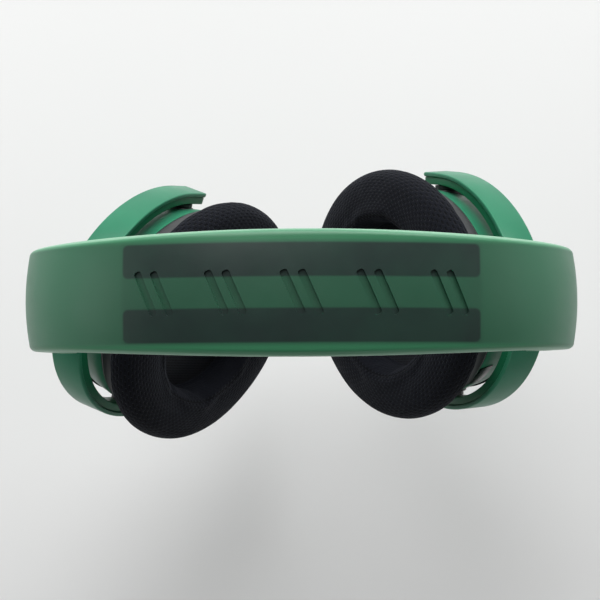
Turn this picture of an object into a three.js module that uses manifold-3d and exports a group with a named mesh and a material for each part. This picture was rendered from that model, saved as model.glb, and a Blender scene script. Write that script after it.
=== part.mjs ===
// Wireless over-ear headset, in millimetres.
// Origin: where the head meets the pads, on the undersides of the head pads at the top of the arch.
// +Z is up, -Y is the wearer's front, +X is the wearer's left.
import * as THREE from 'three';
import { mergeVertices } from 'three/addons/utils/BufferGeometryUtils.js';
import Module from 'manifold-3d';

const wasm = await Module();
wasm.setup();

// Headband arch: half an ellipse, then a short bend inwards, then a straight end.
const archHalfWidth = 87;
const archRise = 62;
const endBendRadius = 60;
const endLean = THREE.MathUtils.degToRad(11);
const endStraight = 17;
const bandHalfTop = 18.4;
const bandHalfEnd = 15.8;
const crownDrop = 1.2;
const skin = 2.2;
const shellDepth = 9;
const linerThick = 1.8;
const gap = 0.3;
const padThick = 8.7;
const padWidth = 9.9;
const padOffset = 9.7;
const padArc = 120;
const padSteps = 21;
const bandSteps = 32;
const cableSteps = 22;

// Engraved marks: pairs of slanted strokes along the top.
const markCount = 5;
const markPitch = 22;
const strokeLength = 14;
const strokeWidth = 2.4;
const strokeDepth = 0.9;
const strokePitch = 5.2;
const strokeSlant = THREE.MathUtils.degToRad(24);

// Sliders and swivels.
const strapDepth = 5.4;
const strapHalf = 7;
const strapThick = 1.6;
const strapInside = 28;
const swivelDrop = 10.2;
const swivelSweep = THREE.MathUtils.degToRad(9);
const pinRadius = 2.8;
const screwArc = 66;
const screwSpread = 7;

// Yokes: an arch around each cup, leaning in more than the slider does.
const yokeLean = THREE.MathUtils.degToRad(25.5);
const yokeReach = 51.5;
const yokeInner = { half: 38.1, rise: 48.5 };
const yokeSplit = { half: 40.8, rise: 53.2 };
const yokeOuter = { half: 42.6, rise: 55.5 };
const yokeTip = -9;
const frameWidth = 10.2;
const coverWidth = 11.6;
const armTaper = 0.2;
const pivotRadius = 2.5;
const bossRadius = 5.5;

// Cups: oval about an axis that points at the head. Radii are half heights.
const cupDrop = 3;
const cupAspect = 0.81;
const cushionAspect = 0.84;
const cupSegments = 24;
const driverSegments = 16;

// How far each yoke is turned towards the front at rest, and how far the cups' tops tip outwards.
const restTurn = {
  left: THREE.MathUtils.degToRad(3),
  right: THREE.MathUtils.degToRad(19),
};
const restTip = THREE.MathUtils.degToRad(4);

const paint = {
  green: { color: 0x3fa02c, roughness: 0.35, metalness: 0 },
  greenInner: { color: 0x2f7a22, roughness: 0.45, metalness: 0 },
  darkRing: { color: 0x2b2e31, roughness: 0.5, metalness: 0 },
  black: { color: 0x16181a, roughness: 0.6, metalness: 0 },
  cloth: { color: 0x14171c, roughness: 0.95, metalness: 0 },
  foam: { color: 0x1d2023, roughness: 0.95, metalness: 0 },
  steel: { color: 0x9a9da1, roughness: 0.3, metalness: 1 },
  board: { color: 0x14502c, roughness: 0.5, metalness: 0 },
  cell: { color: 0xb9bcc0, roughness: 0.4, metalness: 0 },
  film: { color: 0xcfd3d6, roughness: 0.4, metalness: 0 },
};

// Solids.

function toSolid(geometry) {
  const bare = geometry.index ? geometry.toNonIndexed() : geometry.clone();
  bare.deleteAttribute('normal');
  bare.deleteAttribute('uv');
  const merged = mergeVertices(bare, 1e-4);
  const corners = merged.index.array;
  const kept = [];
  for (let i = 0; i < corners.length; i += 3) {
    const [a, b, c] = corners.subarray(i, i + 3);
    if (a !== b && b !== c && c !== a) kept.push(a, b, c);
  }
  return new wasm.Manifold(new wasm.Mesh({
    numProp: 3,
    vertProperties: new Float32Array(merged.attributes.position.array),
    triVerts: new Uint32Array(kept),
  }));
}

function toGeometry(solid) {
  const mesh = solid.getMesh();
  const geometry = new THREE.BufferGeometry();
  geometry.setAttribute('position', new THREE.BufferAttribute(mesh.vertProperties, 3));
  geometry.setIndex(new THREE.BufferAttribute(mesh.triVerts, 1));
  geometry.computeVertexNormals();
  return geometry;
}

function carve(geometry, { add = [], cut = [] }) {
  let solid = toSolid(geometry);
  for (const extra of add) solid = solid.add(toSolid(extra));
  for (const hole of cut) solid = solid.subtract(toSolid(hole));
  return toGeometry(solid);
}

function node(name, geometry, finish) {
  const mesh = new THREE.Mesh(toGeometry(toSolid(geometry)), new THREE.MeshStandardMaterial(finish));
  mesh.name = name;
  return mesh;
}

function points(list) {
  return list.map(([x, y]) => new THREE.Vector2(x, y));
}

function box(x, y, z) {
  const size = [x[1] - x[0], y[1] - y[0], z[1] - z[0]];
  return new THREE.BoxGeometry(...size).translate((x[0] + x[1]) / 2, (y[0] + y[1]) / 2, (z[0] + z[1]) / 2);
}

// A round bar along z, from low to high.
function bar(radius, low, high, segments = 20) {
  const round = new THREE.CylinderGeometry(radius, radius, high - low, segments);
  return round.rotateX(Math.PI / 2).translate(0, 0, (low + high) / 2);
}

// Turned about z: [radius, height] pairs, anticlockwise.
function turned(profile, segments) {
  return new THREE.LatheGeometry(points(profile), segments).rotateX(Math.PI / 2);
}

// Turned about the cup's axis, x, and drawn in to an oval across y.
function oval(profile, aspect, segments = cupSegments) {
  const turn = new THREE.LatheGeometry(points(profile), segments);
  return turn.rotateZ(-Math.PI / 2).scale(1, aspect, 1);
}

function closed(profile) {
  return [...profile, profile[0]];
}

// Headband arch.

function ellipseArc() {
  const samples = 720;
  const table = [0];
  for (let i = 1; i <= samples; i += 1) {
    const middle = ((i - 0.5) / samples) * (Math.PI / 2);
    const speed = Math.hypot(archHalfWidth * Math.cos(middle), archRise * Math.sin(middle));
    table.push(table[i - 1] + speed * (Math.PI / 2 / samples));
  }
  return table;
}

const arcTable = ellipseArc();
const ellipseLength = arcTable[arcTable.length - 1];
const bendLength = endBendRadius * endLean;
const halfLength = ellipseLength + bendLength + endStraight;

// Place and outward normal on the band's outer surface, an arc length from the top (z = 0 there).
function archAt(arc) {
  const side = Math.sign(arc) || 1;
  const length = Math.abs(arc);
  let x;
  let z;
  let normal;
  if (length <= ellipseLength) {
    let i = 1;
    while (arcTable[i] < length && i < arcTable.length - 1) i += 1;
    const part = (length - arcTable[i - 1]) / (arcTable[i] - arcTable[i - 1]);
    const angle = ((i - 1 + part) / (arcTable.length - 1)) * (Math.PI / 2);
    x = archHalfWidth * Math.sin(angle);
    z = -archRise * (1 - Math.cos(angle));
    normal = new THREE.Vector2(Math.sin(angle) / archHalfWidth, Math.cos(angle) / archRise).normalize();
  } else {
    const lean = Math.min((length - ellipseLength) / endBendRadius, endLean);
    const straight = Math.max(length - ellipseLength - bendLength, 0);
    x = archHalfWidth - endBendRadius * (1 - Math.cos(lean)) - straight * Math.sin(lean);
    z = -archRise - endBendRadius * Math.sin(lean) - straight * Math.cos(lean);
    normal = new THREE.Vector2(Math.cos(lean), -Math.sin(lean));
  }
  return { x: side * x, z, nx: side * normal.x, nz: normal.y };
}

// The pads' flat undersides at the top of the arch are z = 0.
const padDepth = shellDepth + gap + padThick;
const padEdge = archAt(padArc / padSteps / 2);
const archTop = padDepth * padEdge.nz - padEdge.z;

function bandScale(arc) {
  const along = Math.min(Math.abs(arc) / ellipseLength, 1);
  const narrowing = (1 - Math.cos(Math.PI * along)) / 2;
  return 1 - narrowing * (1 - bandHalfEnd / bandHalfTop);
}

// Bends a straight piece, drawn as (across, out, along), over the arch.
function bend(geometry, tapered = true) {
  const place = geometry.attributes.position;
  for (let i = 0; i < place.count; i += 1) {
    const across = place.getX(i);
    const out = place.getY(i);
    const arc = place.getZ(i);
    const at = archAt(arc);
    const scale = tapered ? bandScale(arc) : 1;
    place.setXYZ(i, at.x + at.nx * out, across * scale, archTop + at.z + at.nz * out);
  }
  return geometry;
}

function strip(outline, from, to, steps) {
  const shape = new THREE.Shape(points(outline));
  const straight = new THREE.ExtrudeGeometry(shape, { depth: to - from, steps, bevelEnabled: false });
  return straight.translate(0, 0, from);
}

function crown(half, depth, steps) {
  const line = [];
  for (let i = -steps; i <= steps; i += 1) {
    const across = (i / steps) * half;
    line.push([across, -depth - crownDrop * (i / steps) ** 2]);
  }
  return line;
}

// A channel with a crowned top, rounded shoulders and two side walls.
function shellOutline() {
  const shoulder = 2.4;
  const wall = bandHalfTop - skin;
  const corner = shoulder * (1 - Math.SQRT1_2);
  return [
    [bandHalfTop, -shellDepth],
    [bandHalfTop, -crownDrop - shoulder],
    [bandHalfTop - corner, -crownDrop - corner],
    ...crown(bandHalfTop - shoulder, 0, 3).reverse(),
    [corner - bandHalfTop, -crownDrop - corner],
    [-bandHalfTop, -crownDrop - shoulder],
    [-bandHalfTop, -shellDepth],
    [-wall, -shellDepth],
    [-wall, -skin - crownDrop - 1],
    ...crown(wall - 1.2, skin, 2),
    [wall, -skin - crownDrop - 1],
    [wall, -shellDepth],
  ];
}

function uprightBar(radius, low, high, across, arc) {
  const round = new THREE.CylinderGeometry(radius, radius, high - low, 10);
  return round.translate(across, (low + high) / 2, arc);
}

function screwPlaces() {
  const list = [];
  for (const arc of [-screwArc, screwArc]) {
    for (const across of [-screwSpread, screwSpread]) list.push([across, arc]);
  }
  return list;
}

function engravedStrokes() {
  const strokes = [];
  for (let mark = 0; mark < markCount; mark += 1) {
    const middle = (mark - (markCount - 1) / 2) * markPitch;
    for (const side of [-0.5, 0.5]) {
      const stroke = new THREE.BoxGeometry(strokeLength, 4, strokeWidth);
      stroke.rotateY(strokeSlant).translate(0, 2 - strokeDepth, middle + side * strokePitch);
      strokes.push(bend(stroke));
    }
  }
  return strokes;
}

function outerShell() {
  const body = bend(strip(shellOutline(), -halfLength, halfLength, bandSteps));
  const bosses = screwPlaces().map(([across, arc]) => bend(uprightBar(2.8, -6.9, -1.8, across, arc)));
  const holes = screwPlaces().map(([across, arc]) => bend(uprightBar(1.4, -8, -3.6, across, arc)));
  return carve(body, { add: bosses, cut: [...holes, ...engravedStrokes()] });
}

function innerShell() {
  const half = bandHalfTop - skin - gap;
  const top = linerThick - shellDepth;
  const outline = [[-half, -shellDepth], [half, -shellDepth], [half, top], [-half, top]];
  const body = bend(strip(outline, -halfLength, halfLength, bandSteps));
  const holes = screwPlaces().map(([across, arc]) => bend(uprightBar(1.5, -11, -6, across, arc)));
  return carve(body, { cut: holes });
}

function headPad(side) {
  const top = -shellDepth - gap;
  const low = top - padThick;
  const half = padWidth / 2;
  const soft = 2.6;
  const outline = [
    [-half, top], [-half, low + soft], [-half + 0.8, low + 0.8], [-half + soft, low],
    [half - soft, low], [half - 0.8, low + 0.8], [half, low + soft], [half, top],
  ];
  const pad = strip(outline, -padArc / 2, padArc / 2, padSteps);
  return bend(pad.translate(side * padOffset, 0, 0), false);
}

function crossoverCable() {
  const across = -11;
  const radius = 1.2;
  const outline = [];
  for (let i = 0; i < 8; i += 1) {
    const angle = (i / 8) * Math.PI * 2;
    outline.push([across + radius * Math.cos(angle), -5.2 + radius * Math.sin(angle)]);
  }
  return bend(strip(outline, 2 - halfLength, halfLength - 2, cableSteps), false);
}

function bandScrew(across, arc) {
  const head = uprightBar(2.4, -10.4, -9.3, across, arc);
  const shank = uprightBar(1, -9.4, -4, across, arc);
  return carve(bend(head), { add: [bend(shank)] });
}

function headband() {
  const group = new THREE.Group();
  group.add(node('headband_outer_shell', outerShell(), paint.green));
  group.add(node('headband_inner_shell', innerShell(), paint.greenInner));
  group.add(node('head_pad_front', headPad(-1), paint.foam));
  group.add(node('head_pad_rear', headPad(1), paint.foam));
  group.add(node('crossover_cable', crossoverCable(), paint.black));
  for (const [across, arc] of screwPlaces()) {
    const name = `${arc > 0 ? 'left' : 'right'}_band_screw_${across < 0 ? 'front' : 'rear'}`;
    group.add(node(name, bandScrew(across, arc), paint.steel));
  }
  return group;
}

// Slider and swivel, about the slide axis z.

function sliderGuide(rear) {
  const low = swivelDrop + 2;
  const wide = [rear * 10, -rear * 8.6].sort((a, b) => a - b);
  const slot = [rear * 8.9, -rear * 7.3].sort((a, b) => a - b);
  const sleeve = box([-1.8, 1.5], wide, [low, low + 10]);
  return carve(sleeve, { cut: [box([-1.1, 1.1], slot, [low - 1, low + 11])] });
}

function detentSpring(rear) {
  const middle = swivelDrop + 7;
  const leaf = [[8.4, -4], [8.4, -1.4], [7.8, -0.3], [7.8, 0.3], [8.4, 1.4], [8.4, 4]];
  const back = leaf.map(([y, z]) => [y - 0.4, z]).reverse();
  const outline = [...leaf, ...back].map(([y, z]) => [rear * y, middle + z]);
  const shape = new THREE.Shape(points(rear > 0 ? outline : outline.reverse()));
  const spring = new THREE.ExtrudeGeometry(shape, { depth: 1.4, bevelEnabled: false });
  return spring.applyMatrix4(sideways()).translate(-0.7, 0, 0);
}

function sliderArm(rear) {
  const strap = box([-strapThick / 2, strapThick / 2], [-strapHalf, strapHalf], [8.6, swivelDrop + strapInside]);
  const notches = [];
  for (let i = 0; i < 7; i += 1) {
    const z = swivelDrop + 7 + 2.5 * i;
    notches.push(bar(0.9, -2, 2, 10).rotateY(Math.PI / 2).translate(0, rear * (strapHalf + 0.3), z));
  }
  const neck = bar(4, 5.9, 9.4, 16).rotateX(rear * swivelSweep);
  const pin = bar(pinRadius, -6.4, 6.4, 16).rotateX(rear * swivelSweep);
  const bore = bar(1.3, -7, -0.5, 10).rotateX(rear * swivelSweep);
  return carve(strap, { add: [neck, pin], cut: [bore, ...notches] });
}

function swivelCollar() {
  return turned(closed([[3.1, -6.3], [5.2, -6.3], [5.2, -4.4], [3.1, -4.4]]), 16);
}

function swivelScrew() {
  return turned([[0, -7.7], [2.2, -7.7], [2.6, -7.3], [2.6, -6.7], [1, -6.7], [1, -1], [0, -1]], 12);
}

// Yoke, in its own plane: x towards the head, y along the pivots, z up.

// Turns a shape drawn in (y, z) and extruded into a piece that runs along x.
function sideways() {
  const across = new THREE.Vector3(0, 1, 0);
  const up = new THREE.Vector3(0, 0, 1);
  const along = new THREE.Vector3(1, 0, 0);
  return new THREE.Matrix4().makeBasis(across, up, along);
}

function archLine({ half, rise }) {
  const line = [[half, yokeTip]];
  const steps = 18;
  for (let i = 0; i <= steps; i += 1) {
    const angle = (i / steps) * Math.PI;
    line.push([half * Math.cos(angle), rise * Math.sin(angle)]);
  }
  line.push([-half, yokeTip]);
  return line;
}

// The arms get a little narrower towards the pivots.
function narrowArms(geometry) {
  const place = geometry.attributes.position;
  for (let i = 0; i < place.count; i += 1) {
    const height = Math.min(Math.max(place.getZ(i) / yokeOuter.rise, 0), 1);
    place.setX(i, place.getX(i) * (1 - armTaper * (1 - height)));
  }
  return geometry;
}

function yokeArch(outer, inner, width) {
  const shape = new THREE.Shape(points([...archLine(outer), ...archLine(inner).reverse()]));
  const arch = new THREE.ExtrudeGeometry(shape, { depth: width, bevelEnabled: false });
  return narrowArms(arch.translate(0, 0, -width / 2).applyMatrix4(sideways()));
}

// A round bar on the swivel axis, which crosses the yoke's plane at a small angle.
function onSwivel(radius, low, high, segments) {
  const round = bar(radius, low, high, segments);
  return round.rotateY(yokeLean - endLean).translate(0, 0, yokeReach);
}

function acrossPivots(radius, segments) {
  return bar(radius, -60, 60, segments).rotateX(Math.PI / 2);
}

function yokeFrame() {
  const hub = onSwivel(6, -4, 0, 16);
  const holes = [onSwivel(pinRadius + gap, -12, 12, 16), acrossPivots(pivotRadius + gap, 14)];
  const collarSeat = onSwivel(5.6, -8, -4.1, 16);
  return carve(yokeArch(yokeSplit, yokeInner, frameWidth), { add: [hub], cut: [collarSeat, ...holes] });
}

function yokeCover() {
  const inner = { half: yokeSplit.half + gap, rise: yokeSplit.rise + gap };
  return carve(yokeArch(yokeOuter, inner, coverWidth), { cut: [onSwivel(pinRadius + gap, -12, 12, 16)] });
}

function pivotPin(side) {
  const profile = [
    [0, 32.5], [pivotRadius, 32.5], [pivotRadius, 36.7], [4.5, 36.7], [4.5, 37.8],
    [pivotRadius, 37.8], [pivotRadius, 40.5], [0, 40.5],
  ];
  return turned(profile, 14).rotateX(-side * Math.PI / 2);
}

// Cup, about its own axis x, which points at the head.

// A place on the housing's outer wall. The angle is from straight down, positive to the rear.
function wallPlace(degrees, rear) {
  const angle = THREE.MathUtils.degToRad(degrees);
  const half = 45;
  const y = rear * half * cupAspect * Math.sin(angle);
  const z = -half * Math.cos(angle);
  const out = new THREE.Vector3(0, y / cupAspect ** 2, z).normalize();
  const along = new THREE.Vector3(1, 0, 0);
  const across = new THREE.Vector3().crossVectors(out, along);
  return new THREE.Matrix4().makeBasis(along, across, out).setPosition(4, y, z);
}

const fittings = {
  mute: 14,
  wheel: 36,
  power: 62,
  usb: -16,
  mic: -40,
};

function onWall(name, rear, geometry) {
  return geometry.applyMatrix4(wallPlace(fittings[name], rear));
}

function wallCuts(rear) {
  return [
    onWall('mute', rear, bar(3.2, -6, 3, 16)),
    onWall('wheel', rear, box([-2.6, 2.6], [-9.6, 9.6], [-6, 3])),
    onWall('power', rear, box([-2.1, 2.1], [-4.1, 4.1], [-6, 3])),
    onWall('usb', rear, box([-2.2, 2.2], [-5, 5], [-6, 3])),
    onWall('mic', rear, bar(3.7, -6, 3, 16)),
  ];
}

function cupHousing(left, rear) {
  const wall = oval(closed([
    [43.2, -3], [44, 0], [45.2, 5], [46.5, 11], [44.3, 11], [43, 5], [41.8, 0], [41, -3],
  ]), cupAspect);
  const bosses = [];
  const holes = [];
  for (const side of [-1, 1]) {
    const pivot = bar(bossRadius, 32, 36.4, 18).rotateX(-side * Math.PI / 2).translate(0, 0, cupDrop);
    const post = bar(3.4, -2, 7.2, 10).rotateY(Math.PI / 2).translate(0, 0, side * 39.5);
    bosses.push(pivot, post);
    holes.push(bar(1.5, 1, 9, 10).rotateY(Math.PI / 2).translate(0, 0, side * 39.5));
  }
  holes.push(acrossPivots(pivotRadius + gap, 14).translate(0, 0, cupDrop));
  if (left) holes.push(...wallCuts(rear));
  return carve(wall, { add: bosses, cut: holes });
}

// A dished cap, scalloped round the pivot bosses.
function cupCover() {
  const dish = oval([
    [0, -15], [30, -15], [37, -12.6], [41.5, -8], [43.1, -3.4],
    [40.9, -3.4], [39.3, -7], [35.2, -10.8], [29.3, -12.8], [0, -12.8],
  ], cupAspect);
  return carve(dish, { cut: [acrossPivots(bossRadius + gap, 18).translate(0, 0, cupDrop)] });
}

function baffle() {
  const plate = oval([[0, 7.6], [42.9, 7.6], [43.2, 9.6], [0, 9.6]], cupAspect);
  const holes = [bar(18.2, 5, 12, driverSegments).rotateY(Math.PI / 2)];
  for (const side of [-1, 1]) {
    holes.push(bar(1.5, 5, 12, 10).rotateY(Math.PI / 2).translate(0, 0, side * 39.5));
  }
  return carve(plate, { cut: holes });
}

function baffleScrew(side) {
  const profile = [[0, 2.5], [1.1, 2.5], [1.1, 9.9], [2.4, 9.9], [2.4, 10.7], [1.8, 11], [0, 11]];
  return turned(profile, 10).rotateY(Math.PI / 2).translate(0, 0, side * 39.5);
}

function driverBasket() {
  return oval(closed([
    [9, -2], [15, -2], [20, 3], [22.4, 5.2], [22.4, 7.2], [19, 7.2], [18.6, 5], [14, 0], [9, 0],
  ]), 1, driverSegments);
}

function driverMagnet() {
  return oval([[0, -7], [12, -7], [13, -6], [13, -2.4], [0, -2.4]], 1, driverSegments);
}

function diaphragm() {
  return oval([[0, 5.6], [8, 5], [17.2, 6.2], [17.2, 6.7], [8, 5.6], [0, 6.2]], 1, driverSegments);
}

function cushionRing() {
  return oval(closed([
    [47.2, 11.3], [48, 12], [48, 15.6], [47.2, 16.3], [38, 16.3], [38, 11.3],
  ]), cupAspect);
}

function speakerCloth() {
  return oval([[0, 13], [37.5, 13], [37.5, 13.6], [0, 13.6]], cupAspect);
}

function cushion() {
  return oval(closed([
    [48, 16.6], [51.2, 19.2], [52, 22.5], [50.6, 26.6], [46.4, 29.4], [40.6, 30.5],
    [34.4, 29.6], [30, 26.8], [28.6, 23], [29, 19.5], [30.6, 16.6],
  ]), cushionAspect);
}

function volumeWheel(rear) {
  const rim = bar(9.3, -2.2, 2.2, 24);
  const shaft = bar(1.2, -6.2, -2, 10);
  const wheel = carve(rim, { add: [shaft] }).rotateY(Math.PI / 2).translate(0, 0, -7);
  return onWall('wheel', rear, wheel);
}

function volumeEncoder(rear) {
  const block = box([-8.5, -2.7], [-4, 4], [-11, -4.6]);
  const bore = bar(1.5, -7.2, 0, 10).rotateY(Math.PI / 2).translate(0, 0, -7);
  return onWall('wheel', rear, carve(block, { cut: [bore] }));
}

function usbSocket(rear) {
  const shell = box([-1.8, 1.8], [-4.6, 4.6], [-7, -0.4]);
  const mouth = box([-1.3, 1.3], [-4.1, 4.1], [-6, 1]);
  const tongue = box([-0.35, 0.35], [-3.2, 3.2], [-6.5, -1.4]);
  return onWall('usb', rear, carve(shell, { cut: [mouth], add: [tongue] }));
}

function micSocket(rear) {
  return onWall('mic', rear, turned([
    [0, -9], [3.3, -9], [3.3, 0.2], [2.9, 0.6], [1.8, 0.6], [1.8, -8], [0, -8],
  ], 14));
}

function controls(rear) {
  return [
    node('power_button', onWall('power', rear, box([-1.75, 1.75], [-3.75, 3.75], [-3.6, 1.2])), paint.black),
    node('mute_button', onWall('mute', rear, turned([
      [0, -3.6], [2.85, -3.6], [2.85, 0.8], [2.3, 1.3], [0, 1.3],
    ], 14)), paint.black),
    node('volume_wheel', volumeWheel(rear), paint.black),
    node('volume_encoder', volumeEncoder(rear), paint.steel),
    node('usb_socket', usbSocket(rear), paint.steel),
    node('mic_socket', micSocket(rear), paint.steel),
    node('circuit_board', box([-11, -9.6], [-17, 17], [-24, 24]), paint.board),
  ];
}

function cup(name, left, rear) {
  const group = new THREE.Group();
  group.rotation.y = -restTip;
  group.position.set(cupDrop * Math.sin(restTip), 0, -cupDrop * Math.cos(restTip));
  group.add(node(`${name}_cup_housing`, cupHousing(left, rear), paint.green));
  group.add(node(`${name}_cup_cover`, cupCover(), paint.green));
  group.add(node(`${name}_baffle`, baffle(), paint.black));
  group.add(node(`${name}_baffle_screw_upper`, baffleScrew(1), paint.steel));
  group.add(node(`${name}_baffle_screw_lower`, baffleScrew(-1), paint.steel));
  group.add(node(`${name}_driver_basket`, driverBasket(), paint.black));
  group.add(node(`${name}_driver_magnet`, driverMagnet(), paint.steel));
  group.add(node(`${name}_diaphragm`, diaphragm(), paint.film));
  group.add(node(`${name}_cushion_ring`, cushionRing(), paint.darkRing));
  group.add(node(`${name}_speaker_cloth`, speakerCloth(), paint.cloth));
  group.add(node(`${name}_ear_cushion`, cushion(), paint.cloth));
  if (left) group.add(...controls(rear));
  else group.add(node('battery', box([-11.6, -7.6], [-15, 15], [-18, 18]), paint.cell));
  return group;
}

function yoke(name, left, rear) {
  const group = new THREE.Group();
  group.add(node(`${name}_yoke_frame`, yokeFrame(), paint.greenInner));
  group.add(node(`${name}_yoke_cover`, yokeCover(), paint.green));
  group.add(node(`${name}_pivot_pin_rear`, pivotPin(rear), paint.black));
  group.add(node(`${name}_pivot_pin_front`, pivotPin(-rear), paint.black));
  group.add(cup(name, left, rear));
  return group;
}

// Everything on one side. Local x points at the head and local z runs up the slider.
function hangingSide(name) {
  const left = name === 'left';
  const rear = left ? -1 : 1;
  const end = archAt(halfLength);
  const side = new THREE.Group();
  const x = end.x - strapDepth * end.nx - swivelDrop * Math.sin(endLean);
  const z = archTop + end.z - strapDepth * end.nz - swivelDrop * Math.cos(endLean);
  side.position.set(left ? x : -x, 0, z);
  side.rotation.set(0, -endLean, left ? Math.PI : 0, 'ZYX');
  side.add(node(`${name}_slider_guide`, sliderGuide(rear), paint.black));
  side.add(node(`${name}_detent_spring`, detentSpring(rear), paint.steel));
  side.add(node(`${name}_slider_arm`, sliderArm(rear), paint.steel));

  const swept = new THREE.Group();
  swept.rotation.x = rear * swivelSweep;
  swept.add(node(`${name}_swivel_collar`, swivelCollar(), paint.black));
  swept.add(node(`${name}_swivel_screw`, swivelScrew(), paint.steel));
  side.add(swept);

  const swivel = new THREE.Group();
  swivel.rotation.z = -rear * restTurn[name];
  swept.add(swivel);

  const hung = yoke(name, left, rear);
  const lean = yokeLean - endLean;
  hung.rotation.y = -lean;
  hung.position.set(yokeReach * Math.sin(lean), 0, -yokeReach * Math.cos(lean));
  swivel.add(hung);
  return side;
}

const headset = new THREE.Group();
headset.add(headband());
headset.add(hangingSide('left'));
headset.add(hangingSide('right'));

export default headset;
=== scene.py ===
import math
import bpy
import bmesh
from mathutils import Matrix, Vector


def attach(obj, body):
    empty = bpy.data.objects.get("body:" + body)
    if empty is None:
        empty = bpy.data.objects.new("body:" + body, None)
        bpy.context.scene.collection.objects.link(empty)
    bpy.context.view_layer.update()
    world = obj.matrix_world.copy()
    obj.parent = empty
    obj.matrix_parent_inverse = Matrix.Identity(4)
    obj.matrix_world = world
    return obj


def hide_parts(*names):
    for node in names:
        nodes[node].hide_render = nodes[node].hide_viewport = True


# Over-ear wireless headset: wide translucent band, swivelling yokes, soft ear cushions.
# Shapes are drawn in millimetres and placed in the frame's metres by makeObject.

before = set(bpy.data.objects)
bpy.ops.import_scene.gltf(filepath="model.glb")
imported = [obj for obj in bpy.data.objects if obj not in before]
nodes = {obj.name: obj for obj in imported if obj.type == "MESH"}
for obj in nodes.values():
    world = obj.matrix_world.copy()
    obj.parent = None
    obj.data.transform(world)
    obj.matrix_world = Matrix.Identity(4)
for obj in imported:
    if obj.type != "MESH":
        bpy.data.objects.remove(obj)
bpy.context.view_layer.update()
print("frame loaded:", len(nodes), "nodes")


# --- camera and light

shot = {
    "cameraAt": (-0.00047, -0.02597, 0.56803),
    "tilt": 0.04288,
    "roll": -0.00495,
    "lens": 115.98,
    "floorZ": -0.235,
    "floorColor": (0.76, 0.76, 0.755),
    "worldColor": (0.93, 0.95, 0.96),
    "worldStrength": 0.17,
}


def makeCamera():
    data = bpy.data.cameras.new("camera")
    data.lens = shot["lens"]
    data.sensor_width = 36
    data.clip_start = 0.01
    data.clip_end = 20
    camera = bpy.data.objects.new("camera", data)
    turn = Matrix.Rotation(shot["tilt"], 4, "X") @ Matrix.Rotation(shot["roll"], 4, "Z")
    camera.matrix_world = Matrix.Translation(shot["cameraAt"]) @ turn
    bpy.context.scene.collection.objects.link(camera)
    bpy.context.scene.camera = camera


def softBox(name, place, aim, size, power):
    data = bpy.data.lights.new(name, "AREA")
    data.shape = "RECTANGLE"
    data.size, data.size_y = size
    data.energy = power
    light = bpy.data.objects.new(name, data)
    light.location = place
    light.rotation_euler = (Vector(aim) - Vector(place)).to_track_quat("-Z", "Y").to_euler()
    bpy.context.scene.collection.objects.link(light)


makeCamera()
softBox("rear_window", (0.15, 1.35, 0.6), (0, 0.1, -0.15), (2.0, 0.7), 33)
softBox("rear_ceiling", (-0.3, 0.95, 1.1), (0, 0.1, -0.15), (1.0, 0.5), 11)
softBox("left_fill", (-1.3, 0.1, 0.3), (0, 0, -0.1), (0.6, 0.6), 2.0)
softBox("right_fill", (1.3, 0.2, 0.25), (0, 0, -0.1), (0.6, 0.6), 1.2)
softBox("front_fill", (0.1, -1.3, 0.3), (0, 0, -0.1), (1.2, 0.6), 3.0)


# --- material tools

def linear(red, green, blue, alpha=1.0):
    out = []
    for value in (red, green, blue):
        part = value / 255
        out.append(part / 12.92 if part <= 0.04045 else ((part + 0.055) / 1.055) ** 2.4)
    return (*out, alpha)


class Tree:
    # short names for the nodes that the finishes share
    def __init__(self, tree):
        self.tree = tree
        self.count = 0

    def add(self, kind, **settings):
        node = self.tree.nodes.new(kind)
        node.location = (180 * (self.count % 8) - 1400, -200 * (self.count // 8))
        self.count += 1
        for key, value in settings.items():
            setattr(node, key, value)
        return node

    def link(self, source, target):
        self.tree.links.new(source, target)

    def feed(self, target, value):
        if isinstance(value, bpy.types.NodeSocket):
            self.link(value, target)
        else:
            target.default_value = value

    def math(self, operation, *values, clamp=False):
        node = self.add("ShaderNodeMath", operation=operation, use_clamp=clamp)
        for index, value in enumerate(values):
            self.feed(node.inputs[index], value)
        return node.outputs[0]

    def ramp(self, value, low, high, outLow=0.0, outHigh=1.0, smooth=True):
        node = self.add("ShaderNodeMapRange")
        node.interpolation_type = "SMOOTHSTEP" if smooth else "LINEAR"
        for index, part in enumerate((value, low, high, outLow, outHigh)):
            self.feed(node.inputs[index], part)
        return node.outputs[0]

    def mix(self, factor, first, second, blend="MIX"):
        node = self.add("ShaderNodeMix", data_type="RGBA", blend_type=blend)
        self.feed(node.inputs[0], factor)
        self.feed(node.inputs[6], first)
        self.feed(node.inputs[7], second)
        return node.outputs[2]

    def noise(self, vector, scale, detail=3.0, rough=0.5):
        node = self.add("ShaderNodeTexNoise")
        self.link(vector, node.inputs["Vector"])
        node.inputs["Scale"].default_value = scale
        node.inputs["Detail"].default_value = detail
        node.inputs["Roughness"].default_value = rough
        return node.outputs["Fac"]


def newGroup(name, inputs, outputs):
    group = bpy.data.node_groups.new(name, "ShaderNodeTree")
    for socketName, kind, value in inputs:
        socket = group.interface.new_socket(socketName, in_out="INPUT", socket_type=kind)
        if value is not None:
            socket.default_value = value
    for socketName, kind in outputs:
        group.interface.new_socket(socketName, in_out="OUTPUT", socket_type=kind)
    tree = Tree(group)
    return group, tree, tree.add("NodeGroupInput"), tree.add("NodeGroupOutput")


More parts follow.
